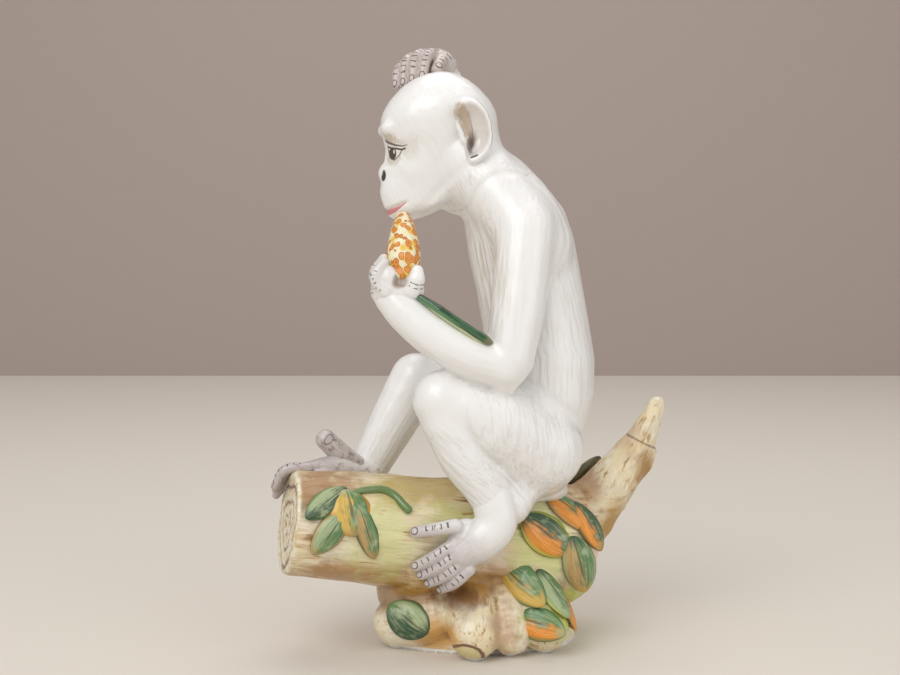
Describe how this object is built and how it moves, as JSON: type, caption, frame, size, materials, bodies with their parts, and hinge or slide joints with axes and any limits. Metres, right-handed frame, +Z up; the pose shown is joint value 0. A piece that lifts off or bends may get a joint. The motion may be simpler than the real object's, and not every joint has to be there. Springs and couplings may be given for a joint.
{
  "type": "monkey figurine",
  "caption": "Glazed earthenware monkey squatting on a cut log with leaves, one hand on its head, eating a spotted cone-shaped fruit held in the other.",
  "frame": {"origin": "on the ground, under the middle of the root foot", "axes": "+Z up; the monkey faces -X; -Y is the side that the picture shows"},
  "size_m": [0.23, 0.154, 0.3406],
  "materials": {
    "white_glaze": "gloss white tin glaze with fine brushed hair lines",
    "bark_glaze": "gloss ivory, golden brown and yellow-green painted glaze",
    "leaf_glaze": "gloss green and orange brushed glaze",
    "hand_glaze": "gloss white fading to lilac grey, dark painted dashes",
    "fruit_glaze": "gloss pale yellow with golden and orange spots",
    "stalk_glaze": "gloss dark green brushed glaze"
  },
  "bodies": {
    "root": {"torso": "white_glaze", "head": "white_glaze", "left_ear": "white_glaze", "right_ear": "white_glaze", "left_upper_arm": "white_glaze", "right_upper_arm": "white_glaze", "left_forearm": "white_glaze", "right_forearm": "white_glaze", "left_thigh": "white_glaze", "right_thigh": "white_glaze", "left_shin": "white_glaze", "right_shin": "white_glaze", "left_hand": "hand_glaze", "right_hand": "hand_glaze", "left_fingers": "hand_glaze", "right_fingers": "hand_glaze", "left_thumb": "hand_glaze", "right_thumb": "hand_glaze", "left_foot": "hand_glaze", "right_foot": "hand_glaze", "left_toes": "hand_glaze", "right_toes": "hand_glaze", "left_big_toe": "hand_glaze", "right_big_toe": "hand_glaze", "log_trunk": "bark_glaze", "log_end_disc": "bark_glaze", "branch_stub": "bark_glaze", "branch_tip": "bark_glaze", "bark_flap": "bark_glaze", "root_mound": "bark_glaze", "root_left": "bark_glaze", "root_front": "bark_glaze", "root_ribbed": "bark_glaze", "root_right": "bark_glaze", "root_back_left": "bark_glaze", "root_back_right": "bark_glaze", "leaf_left_1": "leaf_glaze", "leaf_left_2": "leaf_glaze", "leaf_left_3": "leaf_glaze", "leaf_left_4": "leaf_glaze", "leaf_right_1": "leaf_glaze", "leaf_right_2": "leaf_glaze", "leaf_right_3": "leaf_glaze", "leaf_right_4": "leaf_glaze", "leaf_right_5": "leaf_glaze", "leaf_right_6": "leaf_glaze", "leaf_right_7": "leaf_glaze", "leaf_right_8": "leaf_glaze", "leaf_branch_1": "leaf_glaze", "leaf_branch_2": "leaf_glaze", "leaf_base": "leaf_glaze", "leaf_back_1": "leaf_glaze", "leaf_back_2": "leaf_glaze", "leaf_back_3": "leaf_glaze", "leaf_back_4": "leaf_glaze", "leaf_stem": "leaf_glaze", "fruit": "fruit_glaze", "fruit_stalk": "stalk_glaze"}
  },
  "joints": []
}
